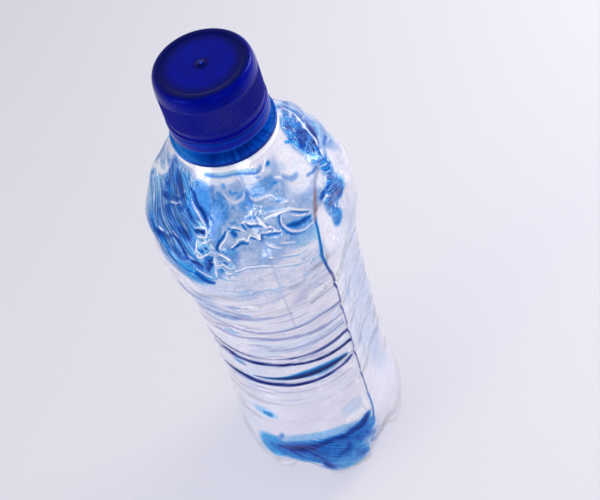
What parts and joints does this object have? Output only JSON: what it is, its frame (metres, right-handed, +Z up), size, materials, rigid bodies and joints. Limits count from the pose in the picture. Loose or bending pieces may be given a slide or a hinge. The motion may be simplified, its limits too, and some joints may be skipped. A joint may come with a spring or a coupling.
{
  "type": "crushed plastic bottle",
  "caption": "Clear ribbed drinks bottle with a squeezed, creased wall, a wrinkled shoulder, a five-footed base and a blue screw cap on its neck.",
  "frame": {"origin": "middle of the five feet, on the ground", "axes": "+Z up along the bottle's axis, towards the cap; -Y is the front, with one foot nearly in line with it; the long crease is to the front right, between -Y and +X"},
  "size_m": [0.0682, 0.068, 0.1982],
  "materials": {
    "clear_pet": "clear, faintly blue, wrinkled and scuffed",
    "cap_blue": "satin moulded, knurled skirt",
    "band_blue": "satin moulded",
    "liner_white": "soft, matt"
  },
  "bodies": {
    "bottle": {"bottle": "clear_pet", "tamper_band": "band_blue"},
    "liner": {"seal_liner": "liner_white"},
    "cap": {"screw_cap": "cap_blue"}
  },
  "joints": [
    {"name": "cap_rise", "type": "slide", "parent": "bottle", "child": "liner", "axis": [0, 0, 1], "range_m": [0, 0.0051]},
    {"name": "cap_turn", "type": "hinge", "parent": "liner", "child": "cap", "pos_m": [0, 0, 0.19], "axis": [0, 0, 1], "range_deg": [0, 576]}
  ],
  "couplings": [
    {"joint": "cap_rise", "follows": "cap_turn", "m_per_rad": 0.00050611}
  ]
}
